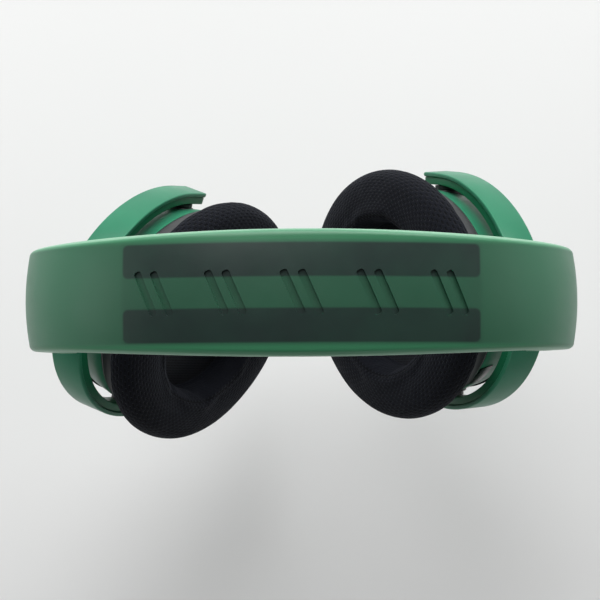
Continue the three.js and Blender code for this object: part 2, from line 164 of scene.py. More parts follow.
def mouldedGroup():
    # fine moulded grain, slow mottling and faint handling marks
    group, t, start, end = newGroup(
        "mouldedSurface",
        [("Vector", "NodeSocketVector", None), ("Grain Scale", "NodeSocketFloat", 2600.0),
         ("Base Roughness", "NodeSocketFloat", 0.4), ("Spread", "NodeSocketFloat", 0.08)],
        [("Height", "NodeSocketFloat"), ("Roughness", "NodeSocketFloat"), ("Mottle", "NodeSocketFloat")])
    vector = start.outputs["Vector"]
    grain = t.add("ShaderNodeTexNoise")
    t.link(vector, grain.inputs["Vector"])
    t.link(start.outputs["Grain Scale"], grain.inputs["Scale"])
    grain.inputs["Detail"].default_value = 2.0
    slow = t.noise(vector, 38.0, 3.0, 0.55)
    smudge = t.noise(vector, 120.0, 4.0, 0.6)
    stretch = t.add("ShaderNodeMapping")
    t.link(vector, stretch.inputs["Vector"])
    stretch.inputs["Scale"].default_value = (60.0, 900.0, 60.0)
    stretch.inputs["Rotation"].default_value = (0.3, 0.2, 0.5)
    scratch = t.ramp(t.noise(stretch.outputs["Vector"], 1.0, 4.0, 0.7), 0.68, 0.76)
    uneven = t.math("SUBTRACT", smudge, 0.5)
    uneven = t.math("ADD", uneven, t.math("MULTIPLY", scratch, 0.25))
    rough = t.math("MULTIPLY_ADD", uneven, start.outputs["Spread"], start.outputs["Base Roughness"])
    t.link(t.math("MULTIPLY_ADD", scratch, -0.35, grain.outputs["Fac"]), end.inputs["Height"])
    t.link(rough, end.inputs["Roughness"])
    t.link(slow, end.inputs["Mottle"])
    return group


def knitGroup():
    # staggered rows of short dimples in a close knit, read from the cloth's own map
    group, t, start, end = newGroup(
        "dimpledKnit",
        [("Vector", "NodeSocketVector", None), ("Columns", "NodeSocketFloat", 80.0),
         ("Rows", "NodeSocketFloat", 40.0), ("Dash Length", "NodeSocketFloat", 0.32)],
        [("Height", "NodeSocketFloat"), ("Dimple", "NodeSocketFloat"), ("Thread", "NodeSocketFloat")])
    parts = t.add("ShaderNodeSeparateXYZ")
    t.link(start.outputs["Vector"], parts.inputs[0])
    rows = t.math("MULTIPLY", parts.outputs["Y"], start.outputs["Rows"])
    rowIndex = t.math("FLOOR", rows)
    shift = t.math("MULTIPLY", t.math("MODULO", rowIndex, 2.0), 0.5)
    columns = t.math("MULTIPLY_ADD", parts.outputs["X"], start.outputs["Columns"], shift)
    across = t.math("ABSOLUTE", t.math("SUBTRACT", t.math("FRACT", columns), 0.5))
    down = t.math("ABSOLUTE", t.math("SUBTRACT", t.math("FRACT", rows), 0.5))
    shortSide = t.ramp(down, 0.34, 0.14)
    longSide = t.ramp(across, start.outputs["Dash Length"], t.math("SUBTRACT", start.outputs["Dash Length"], 0.12))
    dimple = t.math("MULTIPLY", shortSide, longSide)
    loops = t.math("SINE", t.math("MULTIPLY", columns, 25.1327))
    courses = t.math("SINE", t.math("MULTIPLY", rows, 18.8496))
    thread = t.math("MULTIPLY_ADD", t.math("MULTIPLY", loops, courses), 0.5, 0.5)
    height = t.math("MULTIPLY_ADD", thread, 0.22, t.math("MULTIPLY", dimple, -1.0))
    t.link(height, end.inputs["Height"])
    t.link(dimple, end.inputs["Dimple"])
    t.link(thread, end.inputs["Thread"])
    return group


moulded = mouldedGroup()
knit = knitGroup()


def newMaterial(name):
    material = bpy.data.materials.new(name)
    material.use_nodes = True
    t = Tree(material.node_tree)
    shader = material.node_tree.nodes["Principled BSDF"]
    return material, t, shader


def objectCoords(t):
    return t.add("ShaderNodeTexCoord").outputs["Object"]


def useGroup(t, group, vector, **values):
    node = t.add("ShaderNodeGroup")
    node.node_tree = group
    t.link(vector, node.inputs["Vector"])
    for key, value in values.items():
        t.feed(node.inputs[key.replace("_", " ")], value)
    return node


def addBump(t, shader, height, distance, strength=1.0):
    bump = t.add("ShaderNodeBump")
    bump.inputs["Distance"].default_value = distance
    bump.inputs["Strength"].default_value = strength
    t.link(height, bump.inputs["Height"])
    t.link(bump.outputs["Normal"], shader.inputs["Normal"])


tint = {
    "middle": linear(42, 86, 64),
    "end": linear(60, 116, 88),
    # edge and line are the painted highlight colours for the band's side rims
    "edge": linear(104, 160, 128),
    "margin": linear(54, 126, 86),
    "line": linear(170, 205, 182),
    "shade": linear(27, 36, 37),
    "yoke": linear(50, 122, 92),
    "yokeDeep": linear(44, 110, 84),
}


def translucentBand():
    # tinted shell: the pads under it show as darker strips, the ends are paler, and the thin rims are paler with a
    # painted highlight
    material, t, shader = newMaterial("translucent_band")
    coords = objectCoords(t)
    surface = useGroup(t, moulded, coords, Grain_Scale=3200.0, Base_Roughness=0.4, Spread=0.16)
    place = t.add("ShaderNodeSeparateXYZ")
    t.link(coords, place.inputs[0])
    fromMiddle = t.math("ABSOLUTE", place.outputs["X"])
    fromLine = t.math("ABSOLUTE", place.outputs["Y"])
    overLong = t.math("MAXIMUM", t.math("SUBTRACT", fromMiddle, 0.0505), 0.0)
    padSide = t.math("ABSOLUTE", t.math("SUBTRACT", fromLine, 0.0094))
    overWide = t.math("MAXIMUM", t.math("SUBTRACT", padSide, 0.0033), 0.0)
    corner = t.math("SQRT", t.math("ADD", t.math("MULTIPLY", overLong, overLong), t.math("MULTIPLY", overWide, overWide)))
    pads = t.ramp(corner, 0.0020, 0.0012)
    margin = t.ramp(fromLine, 0.0140, 0.0158)
    liner = t.math("MULTIPLY", t.math("SUBTRACT", 1.0, margin), t.ramp(fromMiddle, 0.0535, 0.0515))
    base = t.mix(t.ramp(fromMiddle, 0.050, 0.086), tint["middle"], tint["end"])
    base = t.mix(t.math("MULTIPLY", liner, 0.2), base, tint["shade"])
    base = t.mix(t.math("MULTIPLY", margin, 0.55), base, tint["margin"])
    base = t.mix(t.math("MULTIPLY", pads, 0.88), base, tint["shade"])
    # painted highlight: the side rims are painted paler towards edge, and a thin pale line is painted along them
    half = t.ramp(fromMiddle, 0.0, 0.087, 0.0184, 0.0158)
    rimHighlight = t.ramp(t.math("SUBTRACT", half, fromLine), 0.0016, 0.0002)
    base = t.mix(t.math("MULTIPLY", rimHighlight, 0.5), base, tint["edge"])
    edgeHighlight = t.ramp(t.math("SUBTRACT", half, fromLine), 0.0006, 0.0002)
    base = t.mix(t.math("MULTIPLY", edgeHighlight, 0.3), base, tint["line"])
    base = t.mix(t.ramp(surface.outputs["Mottle"], 0.3, 0.7, 0.0, 0.08), base, tint["end"])
    t.link(base, shader.inputs["Base Color"])
    t.link(surface.outputs["Roughness"], shader.inputs["Roughness"])
    shader.inputs["Subsurface Weight"].default_value = 0.12
    shader.inputs["Subsurface Radius"].default_value = (0.4, 1.0, 0.7)
    shader.inputs["Subsurface Scale"].default_value = 0.002
    shader.inputs["IOR"].default_value = 1.52
    shader.inputs["Specular IOR Level"].default_value = 0.33
    addBump(t, shader, surface.outputs["Height"], 0.00003, 0.5)
    return material


def tintedShell(name, light, deep, roughness):
    material, t, shader = newMaterial(name)
    coords = objectCoords(t)
    surface = useGroup(t, moulded, coords, Grain_Scale=3000.0, Base_Roughness=roughness, Spread=0.16)
    base = t.mix(t.ramp(surface.outputs["Mottle"], 0.25, 0.75), deep, light)
    t.link(base, shader.inputs["Base Color"])
    t.link(surface.outputs["Roughness"], shader.inputs["Roughness"])
    shader.inputs["Subsurface Weight"].default_value = 0.2
    shader.inputs["Subsurface Radius"].default_value = (0.4, 1.0, 0.7)
    shader.inputs["Subsurface Scale"].default_value = 0.003
    shader.inputs["IOR"].default_value = 1.52
    shader.inputs["Specular IOR Level"].default_value = 0.16
    addBump(t, shader, surface.outputs["Height"], 0.00003, 0.5)
    return material


def plainPlastic(name, color, roughness, grain=2200.0, depth=0.00005):
    material, t, shader = newMaterial(name)
    coords = objectCoords(t)
    surface = useGroup(t, moulded, coords, Grain_Scale=grain, Base_Roughness=roughness, Spread=0.2)
    darker = tuple(part * 0.72 for part in color[:3]) + (1.0,)
    base = t.mix(t.ramp(surface.outputs["Mottle"], 0.3, 0.7), darker, color)
    t.link(base, shader.inputs["Base Color"])
    t.link(surface.outputs["Roughness"], shader.inputs["Roughness"])
    addBump(t, shader, surface.outputs["Height"], depth, 0.6)
    return material


def brushedMetal(name, color, roughness, across=(90.0, 90.0, 5200.0)):
    material, t, shader = newMaterial(name)
    stretch = t.add("ShaderNodeMapping")
    t.link(objectCoords(t), stretch.inputs["Vector"])
    stretch.inputs["Scale"].default_value = across
    lines = t.noise(stretch.outputs["Vector"], 1.0, 4.0, 0.6)
    darker = tuple(part * 0.7 for part in color[:3]) + (1.0,)
    t.link(t.mix(lines, darker, color), shader.inputs["Base Color"])
    t.link(t.ramp(lines, 0.3, 0.7, roughness - 0.07, roughness + 0.1), shader.inputs["Roughness"])
    shader.inputs["Metallic"].default_value = 1.0
    addBump(t, shader, lines, 0.00002, 0.4)
    return material


def knitCloth(name, color, columns, rows, dimpleDepth=0.00022, faceFrom=2.0, faceTo=3.0):
    # the knit is dimpled outside and plain on the face that meets the head
    material, t, shader = newMaterial(name)
    coords = t.add("ShaderNodeTexCoord")
    pattern = useGroup(t, knit, coords.outputs["UV"], Columns=columns, Rows=rows)
    parts = t.add("ShaderNodeSeparateXYZ")
    t.link(coords.outputs["UV"], parts.inputs[0])
    face = t.math("MULTIPLY", t.ramp(parts.outputs["Y"], faceFrom, faceFrom + 0.03),
                  t.ramp(parts.outputs["Y"], faceTo + 0.03, faceTo))
    outside = t.math("SUBTRACT", 1.0, t.math("MULTIPLY", face, 0.8))
    seam = t.math("ADD", t.ramp(t.math("ABSOLUTE", t.math("SUBTRACT", parts.outputs["Y"], faceFrom)), 0.008, 0.002),
                  t.ramp(t.math("ABSOLUTE", t.math("SUBTRACT", parts.outputs["Y"], faceTo)), 0.008, 0.002))
    fuzz = t.noise(coords.outputs["Object"], 5200.0, 2.0)
    fade = t.noise(coords.outputs["Object"], 55.0, 3.0)
    dark = tuple(part * 0.3 for part in color[:3]) + (1.0,)
    pale = tuple(min(1.0, part * 1.9) for part in color[:3]) + (1.0,)
    base = t.mix(t.ramp(fade, 0.25, 0.75, 0.0, 0.35), color, pale)
    # painted highlight on the raised thread loops, then painted shade in the dimples; the seam line after them is a
    # dark joint
    base = t.mix(t.math("MULTIPLY", pattern.outputs["Thread"], 0.22), base, pale)
    base = t.mix(t.math("MULTIPLY", t.math("MULTIPLY", pattern.outputs["Dimple"], outside), 0.85), base, dark)
    base = t.mix(t.math("MULTIPLY", seam, 0.8), base, dark)
    t.link(base, shader.inputs["Base Color"])
    t.link(t.ramp(fuzz, 0.2, 0.8, 0.82, 0.97), shader.inputs["Roughness"])
    shader.inputs["Specular IOR Level"].default_value = 0.12
    shader.inputs["Sheen Weight"].default_value = 0.06
    shader.inputs["Sheen Roughness"].default_value = 0.45
    shader.inputs["Sheen Tint"].default_value = (0.6, 0.66, 0.8, 1.0)
    height = t.math("MULTIPLY", pattern.outputs["Height"], outside)
    height = t.math("MULTIPLY_ADD", fuzz, 0.12, height)
    height = t.math("MULTIPLY_ADD", seam, -1.6, height)
    addBump(t, shader, height, dimpleDepth, 1.0)
    return material


def scrimCloth():
    # open square mesh over the driver
    material, t, shader = newMaterial("speaker_scrim")
    coords = objectCoords(t)
    wave = t.add("ShaderNodeSeparateXYZ")
    t.link(coords, wave.inputs[0])
    first = t.math("ABSOLUTE", t.math("SINE", t.math("MULTIPLY", wave.outputs["Y"], 3400.0)))
    second = t.math("ABSOLUTE", t.math("SINE", t.math("MULTIPLY", wave.outputs["Z"], 3400.0)))
    threads = t.math("MAXIMUM", first, second)
    base = t.mix(t.ramp(threads, 0.4, 0.9), linear(6, 7, 9), linear(38, 41, 48))
    t.link(base, shader.inputs["Base Color"])
    t.link(t.ramp(threads, 0.2, 1.0, 0.95, 0.75), shader.inputs["Roughness"])
    addBump(t, shader, threads, 0.00012, 0.8)
    return material


def circuitBoard():
    material, t, shader = newMaterial("solder_mask")
    coords = objectCoords(t)
    brick = t.add("ShaderNodeTexBrick")
    t.link(coords, brick.inputs["Vector"])
    brick.inputs["Scale"].default_value = 260.0
    brick.inputs["Mortar Size"].default_value = 0.08
    brick.inputs["Color1"].default_value = linear(24, 92, 52)
    brick.inputs["Color2"].default_value = linear(18, 76, 44)
    brick.inputs["Mortar"].default_value = linear(92, 150, 92)
    t.link(brick.outputs["Color"], shader.inputs["Base Color"])
    t.link(t.ramp(brick.outputs["Fac"], 0.0, 1.0, 0.3, 0.45), shader.inputs["Roughness"])
    addBump(t, shader, brick.outputs["Fac"], 0.00005, 0.5)
    return material


finish = {
    "band": translucentBand(),
    "shell": tintedShell("tinted_shell", tint["yoke"], tint["yokeDeep"], 0.34),
    "inner": tintedShell("tinted_inner", linear(30, 112, 76), linear(26, 98, 68), 0.4),
    "ring": plainPlastic("satin_dark_ring", linear(44, 46, 48), 0.4, 1800.0, 0.00003),
    "black": plainPlastic("moulded_black", linear(26, 28, 30), 0.52),
    "steel": brushedMetal("brushed_steel", (0.55, 0.56, 0.58, 1), 0.3),
    "magnet": brushedMetal("plated_steel", (0.62, 0.62, 0.64, 1), 0.2, (900.0, 900.0, 900.0)),
    "film": plainPlastic("cone_film", linear(190, 192, 196), 0.35),
    "foil": plainPlastic("foil_cell", linear(150, 152, 156), 0.32, 700.0, 0.0001),
    "board": circuitBoard(),
    "scrim": scrimCloth(),
    "label": plainPlastic("plain_label", linear(16, 17, 18), 0.3),
    "cushion": knitCloth("cushion_knit", linear(11, 13, 19), 96.0, 46.0, 0.00028, 0.50, 0.80),
    "pad": knitCloth("pad_knit", linear(18, 19, 22), 46.0, 15.0, 0.00018),
}
print("finishes made:", len(finish))


# --- shape tools

def sweep(stations):
    # one outline drawn as a few vertices, then extruded from station to station and capped
    bm = bmesh.new()
    along = bm.verts.layers.float.new("along")
    around = bm.verts.layers.float.new("around")
    row = [bm.verts.new(point) for point in stations[0]]
    count = len(row)
    for i, vert in enumerate(row):
        vert[around] = i / count
    edges = [bm.edges.new((row[i], row[(i + 1) % count])) for i in range(count)]
    bm.faces.new(row)
    for step, outline in enumerate(stations[1:], start=1):
        made = bmesh.ops.extrude_edge_only(bm, edges=edges)["geom"]
        fresh = {part for part in made if isinstance(part, bmesh.types.BMVert)}
        row = [next(edge.other_vert(vert) for edge in vert.link_edges if edge.other_vert(vert) in fresh)
               for vert in row]
        for i, vert in enumerate(row):
            vert.co = outline[i]
            vert[around] = i / count
            vert[along] = step / (len(stations) - 1)
        edges = [bm.edges.get((row[i], row[(i + 1) % count])) for i in range(count)]
    bm.faces.new(row)
    return bm


def mapSweep(bm, turnsRound=False):
    # the piece's own map: along the sweep, and around its outline
    along = bm.verts.layers.float["along"]
    around = bm.verts.layers.float["around"]
    layer = bm.loops.layers.uv.new("cloth")
    for face in bm.faces:
        wraps = max(v[around] for v in face.verts) - min(v[around] for v in face.verts) > 0.5
        for loop in face.loops:
            down = loop.vert[around]
            if wraps and down < 0.5 and len(face.verts) < 5:
                down += 1.0
            loop[layer].uv = (loop.vert[along], down)
    if turnsRound:
        caps = [face for face in bm.faces if len(face.verts) > 4]
        bmesh.ops.delete(bm, geom=caps, context="FACES_ONLY")
        bmesh.ops.remove_doubles(bm, verts=bm.verts[:], dist=0.0005)


def turned(profile, steps=96, aspect=1.0, ring=False):
    # a profile of (radius, place along the axis) spun about x, then drawn in to an oval
    bm = bmesh.new()
    row = [bm.verts.new((place, 0, radius)) for radius, place in profile]
    edges = [bm.edges.new(pair) for pair in zip(row, row[1:])]
    if ring:
        edges.append(bm.edges.new((row[-1], row[0])))
    bmesh.ops.spin(bm, geom=row + edges, cent=(0, 0, 0), axis=(1, 0, 0), dvec=(0, 0, 0),
                   angle=2 * math.pi, steps=steps, use_merge=True, use_duplicate=False)
    bmesh.ops.remove_doubles(bm, verts=bm.verts[:], dist=0.0005)
    bmesh.ops.scale(bm, vec=(1, aspect, 1), verts=bm.verts[:])
    bmesh.ops.recalc_face_normals(bm, faces=bm.faces[:])
    return bm


def rounded(profile, radius, steps=3, closed=True):
    # the same profile with its corners rounded
    count = len(profile)
    out = []
    for i, corner in enumerate(profile):
        corner = Vector(corner)
        if not closed and i in (0, count - 1):
            out.append(tuple(corner))
            continue
        before = Vector(profile[i - 1]) - corner
        after = Vector(profile[(i + 1) % count]) - corner
        reach = min(radius, before.length * 0.45, after.length * 0.45)
        start = corner + before.normalized() * reach
        stop = corner + after.normalized() * reach
        for k in range(steps + 1):
            part = k / steps
            out.append(tuple(start * (1 - part) ** 2 + corner * 2 * part * (1 - part) + stop * part ** 2))
    return out


def block(low, high, radius=0.0, segments=3):
    # a rounded box
    bm = bmesh.new()
    bmesh.ops.create_cube(bm, size=1.0)
    size = [b - a for a, b in zip(low, high)]
    middle = [(a + b) / 2 for a, b in zip(low, high)]
    bmesh.ops.scale(bm, vec=size, verts=bm.verts[:])
    bmesh.ops.translate(bm, vec=middle, verts=bm.verts[:])
    if radius:
        bmesh.ops.bevel(bm, geom=bm.edges[:], offset=radius, offset_type="OFFSET", segments=segments,
                        profile=0.5, affect="EDGES", material=-1, clamp_overlap=True)
    return bm


def rod(radius, low, high, segments=48, edge=0.0):
    # a round bar along z with softened rims
    bm = bmesh.new()
    bmesh.ops.create_cone(bm, cap_ends=True, segments=segments, radius1=radius, radius2=radius, depth=high - low)
    bmesh.ops.translate(bm, vec=(0, 0, (low + high) / 2), verts=bm.verts[:])
    if edge:
        rims = [e for e in bm.edges if abs(e.verts[0].co.z - e.verts[1].co.z) < 1e-6]
        bmesh.ops.bevel(bm, geom=rims, offset=edge, offset_type="OFFSET", segments=3,
                        profile=0.5, affect="EDGES", material=-1, clamp_overlap=True)
    return bm


def moved(bm, matrix):
    bmesh.ops.transform(bm, matrix=matrix, verts=bm.verts[:])
    return bm


def joined(*parts):
    # several closed bodies in one piece
    whole = parts[0]
    for part in parts[1:]:
        carrier = bpy.data.meshes.new("carrier")
        part.to_mesh(carrier)
        part.free()
        whole.from_mesh(carrier)
        bpy.data.meshes.remove(carrier)
    return whole


toMetres = Matrix.Diagonal((0.001, 0.001, 0.001, 1))


def makeObject(bm, name, place=None):
    bm.transform(toMetres @ (place or Matrix.Identity(4)))
    mesh = bpy.data.meshes.new(name)
    bm.to_mesh(mesh)
    bm.free()
    piece = bpy.data.objects.new(name, mesh)
    bpy.context.scene.collection.objects.link(piece)
    return piece


def cutAway(piece, cutters, place=None):
    # cutters are closed bodies in millimetres
    tool = makeObject(joined(*cutters), "cutter", place)
    cut = piece.modifiers.new("cut", "BOOLEAN")
    cut.operation = "DIFFERENCE"
    cut.solver = "EXACT"
    cut.object = tool
    graph = bpy.context.evaluated_depsgraph_get()
    mesh = bpy.data.meshes.new_from_object(piece.evaluated_get(graph))
    old = piece.data
    piece.modifiers.clear()
    piece.data = mesh
    mesh.name = piece.name
    bpy.data.meshes.remove(old)
    bpy.data.objects.remove(tool)


def setPiece(piece, body, material, replaced=(), angle=32):
    # finish, shading, and the body that the piece rides on
    piece.data.materials.clear()
    piece.data.materials.append(material)
    piece.data.shade_smooth()
    if angle:
        piece.data.set_sharp_from_angle(angle=math.radians(angle))
    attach(piece, body)
    if replaced:
        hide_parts(*replaced)
    return piece


# --- headband

band = {
    "halfWidth": 87.0, "rise": 62.0, "bend": 60.0, "lean": math.radians(11), "straight": 17.0,
    "halfTop": 18.4, "halfEnd": 15.8, "crown": 1.2, "skin": 2.2, "depth": 9.0, "shoulder": 2.4,
    "liner": 1.8, "gap": 0.3, "padThick": 8.7, "padHalf": 4.95, "padOffset": 9.7, "padArc": 120.0,
    "stations": 150, "marks": 5, "markPitch": 22.0, "strokeLength": 14.0, "strokeWidth": 2.4,
    "strokeDepth": 0.9, "strokePitch": 5.2, "slant": math.radians(24),
}


def ellipseTable(samples=1440):
    table = [0.0]
    for i in range(1, samples + 1):
        middle = (i - 0.5) / samples * math.pi / 2
        speed = math.hypot(band["halfWidth"] * math.cos(middle), band["rise"] * math.sin(middle))
        table.append(table[-1] + speed * math.pi / 2 / samples)
    return table


arcTable = ellipseTable()
ellipseLength = arcTable[-1]
bendLength = band["bend"] * band["lean"]
halfLength = ellipseLength + bendLength + band["straight"]


def archAt(arc):
    # place and outward normal on the band's outer surface, an arc length from the top
    side = -1.0 if arc < 0 else 1.0
    length = abs(arc)
    if length <= ellipseLength:
        low, high = 0, len(arcTable) - 1
        while high - low > 1:
            middle = (low + high) // 2
            low, high = (middle, high) if arcTable[middle] < length else (low, middle)
        part = (length - arcTable[low]) / (arcTable[high] - arcTable[low])
        angle = (low + part) / (len(arcTable) - 1) * math.pi / 2
        x = band["halfWidth"] * math.sin(angle)
        z = -band["rise"] * (1 - math.cos(angle))
        normal = Vector((math.sin(angle) / band["halfWidth"], math.cos(angle) / band["rise"])).normalized()
    else:
        lean = min((length - ellipseLength) / band["bend"], band["lean"])
        straight = max(length - ellipseLength - bendLength, 0)
        x = band["halfWidth"] - band["bend"] * (1 - math.cos(lean)) - straight * math.sin(lean)
        z = -band["rise"] - band["bend"] * math.sin(lean) - straight * math.cos(lean)
        normal = Vector((math.cos(lean), -math.sin(lean)))
    return side * x, z, side * normal.x, normal.y


padEdge = archAt(band["padArc"] / 21 / 2)
archTop = (band["depth"] + band["gap"] + band["padThick"]) * padEdge[3] - padEdge[1]


def bandScale(arc):
    along = min(abs(arc) / ellipseLength, 1.0)
    return 1 - (1 - math.cos(math.pi * along)) / 2 * (1 - band["halfEnd"] / band["halfTop"])


def onArch(across, out, arc):
    x, z, nx, nz = archAt(arc)
    return Vector((x + nx * out, across, archTop + z + nz * out))


def archFrame(arc):
    # a matrix whose x runs across the band, y outwards and z along it
    x, z, nx, nz = archAt(arc)
    across, out = Vector((0, 1, 0)), Vector((nx, 0, nz))
    along = across.cross(out)
    turn = Matrix((across, out, along)).transposed().to_4x4()
    return Matrix.Translation(onArch(0, 0, arc)) @ turn


def crownLine(half, depth, steps):
    return [(half * i / steps, -depth - band["crown"] * (i / steps) ** 2) for i in range(-steps, steps + 1)]


def shellLine():
    # a channel with a crowned top, round shoulders and two side walls
    half, shoulder, crown = band["halfTop"], band["shoulder"], band["crown"]
    wall = half - band["skin"]
    right = [(half - 0.5, -band["depth"]), (half, -band["depth"] + 0.5)]
    for k in range(9):
        turn = k / 8 * math.pi / 2
        right.append((half - shoulder * (1 - math.cos(turn)), -crown - shoulder * (1 - math.sin(turn))))
    top = crownLine(half - shoulder, 0, 10)[::-1][1:-1]
    left = [(-across, out) for across, out in right[::-1]]
    inside = [(-wall + 0.3, -band["depth"]), (-wall, -band["depth"] + 0.3), (-wall, -band["skin"] - crown - 1)]
    inside += crownLine(wall - 1.2, band["skin"], 6)
    inside += [(wall, -band["skin"] - crown - 1), (wall, -band["depth"] + 0.3), (wall - 0.3, -band["depth"])]
    return right + top + left + inside


def alongBand(outline, arcs, scale=bandScale):
    return [[onArch(across * scale(arc), out, arc) for across, out in outline] for arc in arcs]


def spread(low, high, steps):
    return [low + (high - low) * i / steps for i in range(steps + 1)]


def softenCaps(bm, size):
    # rounds the rims of the two end faces
    caps = sorted(bm.faces, key=lambda face: -len(face.verts))[:2]
    rims = list({edge for face in caps for edge in face.edges})
    bmesh.ops.bevel(bm, geom=rims, offset=size, offset_type="OFFSET", segments=3, profile=0.5,
                    affect="EDGES", material=-1, clamp_overlap=True)
    return bm


def markStrokes():
    cutters = []
    for mark in range(band["marks"]):
        middle = (mark - (band["marks"] - 1) / 2) * band["markPitch"]
        for side in (-0.5, 0.5):
            long, wide = band["strokeLength"] / 2, band["strokeWidth"] / 2
            stroke = block((-long, -band["strokeDepth"], -wide), (long, 3.0, wide))
            corners = [e for e in stroke.edges if abs(e.verts[0].co.y - e.verts[1].co.y) > 1]
            bmesh.ops.bevel(stroke, geom=corners, offset=0.9, offset_type="OFFSET", segments=4,
                            profile=0.5, affect="EDGES", material=-1, clamp_overlap=True)
            moved(stroke, Matrix.Rotation(band["slant"], 4, "Y"))
            cutters.append(moved(stroke, archFrame(middle + side * band["strokePitch"])))
    return cutters


def makeBand():
    arcs = spread(-halfLength, halfLength, band["stations"])
    shell = sweep(alongBand(shellLine(), arcs))
    bmesh.ops.recalc_face_normals(shell, faces=shell.faces[:])
    outer = makeObject(shell, "band_shell")
    cutAway(outer, markStrokes())
    setPiece(outer, "headband", finish["band"], ["headband_outer_shell"], 30)

    half = band["halfTop"] - band["skin"] - band["gap"]
    low, top = -band["depth"], band["liner"] - band["depth"]
    outline = rounded([(-half, low), (half, low), (half, top), (-half, top)], 0.6)
    liner = sweep(alongBand(outline, arcs))
    bmesh.ops.recalc_face_normals(liner, faces=liner.faces[:])
    lower = makeObject(liner, "band_liner")
    holes = [moved(rod(2.9, -0.5, 4.0), archFrame(arc) @ Matrix.Translation((across, -9.3, 0)) @ Matrix.Rotation(math.pi / 2, 4, "X"))
             for arc in (-66, 66) for across in (-7, 7)]
    cutAway(lower, holes)
    setPiece(lower, "headband", finish["inner"], ["headband_inner_shell"], 30)


def makePad(side, name):
    # a stuffed strip with soft ends, held flat against the liner
    half, thick = band["padHalf"], band["padThick"]
    top = -band["depth"] - band["gap"]
    outline = rounded([(-half, top), (-half, top - thick), (half, top - thick), (half, top)], 3.0, 6)
    ends = band["padArc"] / 2
    arcs = [ends * math.sin(math.pi / 2 * part) if abs(part) > 0.8 else ends * part * 0.95106 / 0.8
            for part in spread(-1, 1, 84)]
    stations = []
    for arc in arcs:
        inside = min((ends - abs(arc)) / 3.5, 1.0)
        size = max(0.25, math.sqrt(max(0.0, 1 - (1 - inside) ** 2)))
        ring = [onArch(side * band["padOffset"] + across * size, top + (out - top) * (0.35 + 0.65 * size), arc)
                for across, out in outline]
        stations.append(ring)
    bm = sweep(stations)
    mapSweep(bm)
    bmesh.ops.recalc_face_normals(bm, faces=bm.faces[:])
    pad = makeObject(bm, name)
    return pad


makeBand()
padPieces = [makePad(-1, "soft_pad_front"), makePad(1, "soft_pad_rear")]
print("headband made")


# --- sliders, swivels and the places that hang from them

hang = {
    "strapDepth": 5.4, "swivelDrop": 10.2, "sweep": math.radians(9), "lean": math.radians(25.5),
    "reach": 51.5, "cupDrop": 3.0, "tip": math.radians(4),
    "turn": {"left": math.radians(3), "right": math.radians(19)},
}


def rearSign(side):
    return -1 if side == "left" else 1


def sliderPlace(side):
    x, z, nx, nz = archAt(halfLength)
    lean = band["lean"]
    x -= hang["strapDepth"] * nx + hang["swivelDrop"] * math.sin(lean)
    z -= hang["strapDepth"] * nz + hang["swivelDrop"] * math.cos(lean)
    half = Matrix.Rotation(math.pi if side == "left" else 0.0, 4, "Z")
    return Matrix.Translation((x if side == "left" else -x, 0, archTop + z)) @ half @ Matrix.Rotation(-lean, 4, "Y")


def swivelPlace(side):
    rear = rearSign(side)
    turn = Matrix.Rotation(-rear * hang["turn"][side], 4, "Z")
    return sliderPlace(side) @ Matrix.Rotation(rear * hang["sweep"], 4, "X") @ turn


def yokePlace(side):
    lean = hang["lean"] - band["lean"]
    drop = Matrix.Translation((hang["reach"] * math.sin(lean), 0, -hang["reach"] * math.cos(lean)))
    return swivelPlace(side) @ drop @ Matrix.Rotation(-lean, 4, "Y")


def cupPlace(side):
    tip = hang["tip"]
    drop = Matrix.Translation((hang["cupDrop"] * math.sin(tip), 0, -hang["cupDrop"] * math.cos(tip)))
    return yokePlace(side) @ drop @ Matrix.Rotation(-tip, 4, "Y")


# --- yokes

yokeSize = {
    "inner": (38.1, 48.5), "split": (40.8, 53.2), "outer": (42.6, 55.5), "tip": -9.0,
    "frameWidth": 10.2, "coverWidth": 11.6, "taper": 0.2, "steps": 72,
}


def yokeLine(size, part):
    # part runs from 0 at one tip to 1 at the other
    half, rise = size
    tail = 0.06
    if part < tail:
        return Vector((half, yokeSize["tip"] * (1 - part / tail)))
    if part > 1 - tail:
        return Vector((-half, yokeSize["tip"] * (1 - (1 - part) / tail)))
    angle = (part - tail) / (1 - 2 * tail) * math.pi
    return Vector((half * math.cos(angle), rise * math.sin(angle)))


def yokeArch(inner, outer, width, radius, bulge):
    stations = []
    for part in spread(0, 1, yokeSize["steps"]):
        low, high = yokeLine(inner, part), yokeLine(outer, part)
        thick = (high - low).length
        height = min(max(high.y / yokeSize["outer"][1], 0), 1)
        half = width / 2 * (1 - yokeSize["taper"] * (1 - height))
        outline = rounded([(-half, 0), (half, 0), (half, thick), (-half, thick)], radius, 4)
        row = []
        for across, out in outline:
            swell = bulge * (1 - (across / half) ** 2) * out / thick
            spot = low + (high - low) * ((out - bulge + swell) / thick if out > thick / 2 else out / thick)
            row.append(Vector((across, spot.x, spot.y)))
        stations.append(row)
    bm = sweep(stations)
    softenCaps(bm, 0.7)
    bmesh.ops.recalc_face_normals(bm, faces=bm.faces[:])
    return bm


def swivelBar(radius, low, high, edge=0.3):
    lean = hang["lean"] - band["lean"]
    turn = Matrix.Translation((0, 0, hang["reach"])) @ Matrix.Rotation(lean, 4, "Y")
    return moved(rod(radius, low, high, 48, edge), turn)


